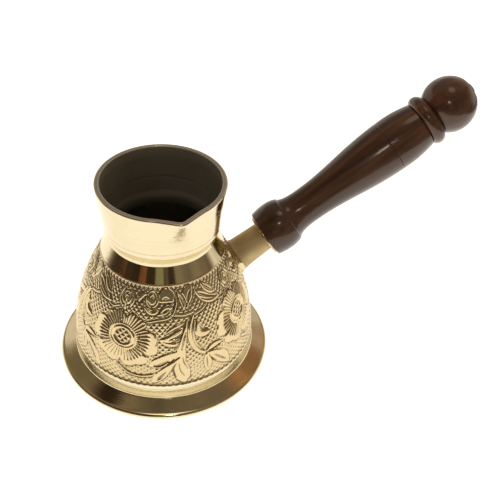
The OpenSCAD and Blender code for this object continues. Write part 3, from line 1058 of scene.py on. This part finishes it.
def handle_stud():
    levels, low, high = ends_of("handle_stud")
    crest = max(levels[low]) - HAIR
    grid = Grid()
    grid.pole(low)
    for station, inset in up_thread(low, high):
        radius = thread(angles(TURN_STEPS), station, crest)
        radius = np.minimum(radius, crest - 1.1 * (THREAD_DEPTH - inset))
        grid.row(ring_points(radius, station, TURN_STEPS))
    grid.pole(high)
    points, faces, _ = grid.finished()
    add_piece("handle_stud_threaded", on_handle(points), faces, "pot", ["handle_stud"], "steel", 60)


def stem_washer():
    levels, low, high = ends_of("stem_washer")
    hole, rim = min(levels[low]), max(levels[low])
    outline = [(hole, low), (rim, low), (rim, high), (hole, high)]
    points, faces = turned(rounded(outline, {0: 0.12, 1: 0.3, 2: 0.3, 3: 0.12}), 128, closed=True)
    add_piece("stem_washer_disc", on_handle(points), faces, "washer", ["stem_washer"], "sheet_brass")


def thread_insert():
    levels, low, high = ends_of("thread_insert")
    outside, bore = max(levels[low]) - HAIR, min(levels[low]) - HAIR
    stud, stud_low, _ = ends_of("handle_stud")
    stud_crest = max(stud[stud_low]) - HAIR
    angle = angles(TURN_STEPS * 2)
    grid = Grid()
    for station in np.linspace(low, high, 40):
        round_way, twist = angle * KNURLS / (2 * math.pi), (station - low) / 1.6
        knurl = triangle_wave(round_way + twist) * triangle_wave(round_way - twist)
        deep = 0.3 * smooth(0, 1.2, min(station - low, high - station))
        grid.row(ring_points(outside - deep * (1 - knurl), station, len(angle)))
    for station, inset in up_thread(low, high)[::-1]:
        radius = np.maximum(thread(angle, station, stud_crest) + THREAD_PLAY, bore - 1.2 * inset)
        grid.row(ring_points(radius, station, len(angle)))
    grid.rows.append(grid.rows[0])
    points, faces, _ = grid.finished()
    add_piece("thread_insert_knurled", on_handle(points), faces, "handle", ["thread_insert"],
              "sheet_brass", 45)


handle_stem()
handle_stud()
stem_washer()
thread_insert()


# ---- the wooden grip ----
SMALL_BORE, LARGE_BORE = 2, 5.5  # every bore's radius lies between these


def handle_grip():
    levels, face, tip = ends_of("handle_grip")
    bores = sorted(min(r) for r in levels.values() if SMALL_BORE < min(r) < LARGE_BORE)
    bore, hole = bores[0], bores[-1]
    bore_end, hole_end = (max(z for z, r in levels.items() if abs(min(r) - size) < 0.02)
                          for size in (bore, hole))
    outer = [(max(r), z) for z, r in levels.items() if max(r) > LARGE_BORE or z > bore_end + 5]
    fine = [tuple(p) for p in smooth_outline(corners_only(outer))]
    lead = [(hole, face + 0.3), (hole + 0.3, face)]
    outline = [(0, bore_end), (bore, bore_end), (bore, hole_end), (hole, hole_end)] + lead
    outline += [(fine[0][0] - 0.5, face), (fine[0][0] - 0.1, face + 0.15)] + fine[1:]
    if fine[-1][0] > ON_AXIS:
        outline.append((0, tip))
    outline = [(max(r - HAIR * 2, 0.0), z) if r > hole else (r, z) for r, z in outline]
    points, faces = turned(outline, 160)
    add_piece("handle_grip_turned", on_handle(points), faces, "handle", ["handle_grip"],
              "lacquered_wood", 30)


handle_grip()

# ---- stage ----
FLOOR_HALF = 0.42  # metres


def add_floor():
    mesh = bpy.data.meshes.new("floor")
    corners = [(x * FLOOR_HALF, y * FLOOR_HALF, 0) for x, y in ((-1, -1), (1, -1), (1, 1), (-1, 1))]
    mesh.from_pydata(corners, [], [(0, 1, 2, 3)])
    floor = new_object("floor", mesh)
    mesh.materials.append(Material("pale_floor").surface({
        "Base Color": colour(0.82, 0.81, 0.79),
        "Roughness": 0.9,
        "Specular IOR Level": 0.1,
        "Emission Color": colour(1.0, 0.985, 0.95),
        "Emission Strength": 0.84,
    }))
    floor.location.z = cad_box[0].z - 0.0002


def add_light(name, place, aim, size, power, tint=(1, 1, 1), glossy=False):
    data = bpy.data.lights.new(name, "AREA")
    data.shape = "RECTANGLE"
    data.size, data.size_y = size
    data.energy = power
    data.color = tint
    light = new_object(name, data)
    light.location = place
    light.rotation_euler = (Vector(aim) - Vector(place)).to_track_quat("-Z", "Y").to_euler()
    light.visible_glossy = glossy
    light.visible_camera = False


ROOM_LOW, ROOM_HIGH = colour(0.17, 0.125, 0.08), colour(0.22, 0.16, 0.105)
# Soft-edged patches of the room that the brass reflects: degrees right of the front, degrees up, half
# width, half height and colour.
ROOM = (
    (-150, 6, 50, 16, (0.70, 0.62, 0.52)),
    (-180, 40, 45, 14, (0.27, 0.25, 0.27)),
    (150, 6, 50, 16, (0.70, 0.62, 0.52)),
    (180, 40, 45, 14, (0.27, 0.25, 0.27)),
    (5, 74, 75, 9, (0.12, 0.092, 0.058)),
    (0, 90, 200, 11, (1.5, 1.3, 1.0)),
    (146, 26, 14, 12, (0.52, 0.37, 0.26)),
    (112, 36, 20, 15, (0.36, 0.19, 0.09)),
    (-112, 34, 18, 12, (0.20, 0.16, 0.09)),
    (-40, 12, 52, 20, (0.045, 0.028, 0.016)),
    (50, 14, 26, 18, (0.21, 0.165, 0.11)),
    (-70, 16, 9, 8, (0.22, 0.09, 0.04)),
    (-28, 17, 6, 8, (0.21, 0.08, 0.035)),
    (1, 17, 7, 10, (0.27, 0.26, 0.13)),
    (22, 14, 6, 16, (0.04, 0.025, 0.016)),
    (-45, 52, 42, 9, (0.03, 0.018, 0.009)),
    (62, 50, 20, 9, (0.20, 0.17, 0.14)),
)


def add_world():
    """A dim brown room round the table, white where the camera sees it."""
    world = bpy.data.worlds.new("studio")
    n = Nodes(world)
    way = n.add("TexCoord").outputs["Generated"]

    def facing(*direction):
        inputs = {0: way, 1: Vector(direction).normalized()}
        return n.add("VectorMath", inputs, operation="DOT_PRODUCT").outputs["Value"]

    front, right, height = facing(-0.40, -0.92, 0), facing(0.92, -0.40, 0), facing(0, 0, 1)
    azimuth = n.math("DEGREES", n.math("ARCTAN2", right, front))
    elevation = n.math("DEGREES", n.math("ARCSINE", height))

    def off(angle, middle, half):
        """How far an angle is from a patch's middle, as a part of its half size."""
        return n.math("DIVIDE", n.math("ABSOLUTE", n.math("SUBTRACT", angle, middle)), half)

    room = n.mix(n.span(height, 0.5, 0.9), ROOM_LOW, ROOM_HIGH)
    for right_of, up, half_width, half_height, paint in ROOM:
        inside = n.math("MAXIMUM", off(azimuth, right_of, half_width), off(elevation, up, half_height))
        room = n.mix(n.span(inside, 1.15, 0.85), room, colour(*paint))
    cloud = n.span(n.noise(way, 3.4, 2), 0.3, 0.7, 0.72, 1.3)
    room = n.mix(1.0, room, cloud, "MULTIPLY")
    seen = n.add("LightPath").outputs["Is Camera Ray"]
    light = n.mix(seen, room, colour(1.0, 1.0, 1.0))
    background = n.add("Background", {"Color": light})
    n.add("OutputWorld", {"Surface": background.outputs[0]})
    scene.world = world


def add_lights():
    low, high = cad_box
    middle = (low + high) / 2
    add_light("overhead", (0.0, -0.1, 1.3), middle, (1.6, 1.6), 1.5)
    for name, x in (("left_lamp", -0.45), ("right_lamp", 0.5)):
        add_light(name, (x, -0.1, 0.45), (x * 0.7, 0.0, 0), (0.3, 0.3), 0.55)
    by_camera = CAMERA_PLACE + Vector((0.02, 0.0, 0.06))
    add_light("lamp", by_camera, middle, (0.05, 0.05), 0.075, (1.0, 0.95, 0.88), glossy=True)


add_floor()
add_world()
add_lights()
scene.view_settings.view_transform = "Standard"
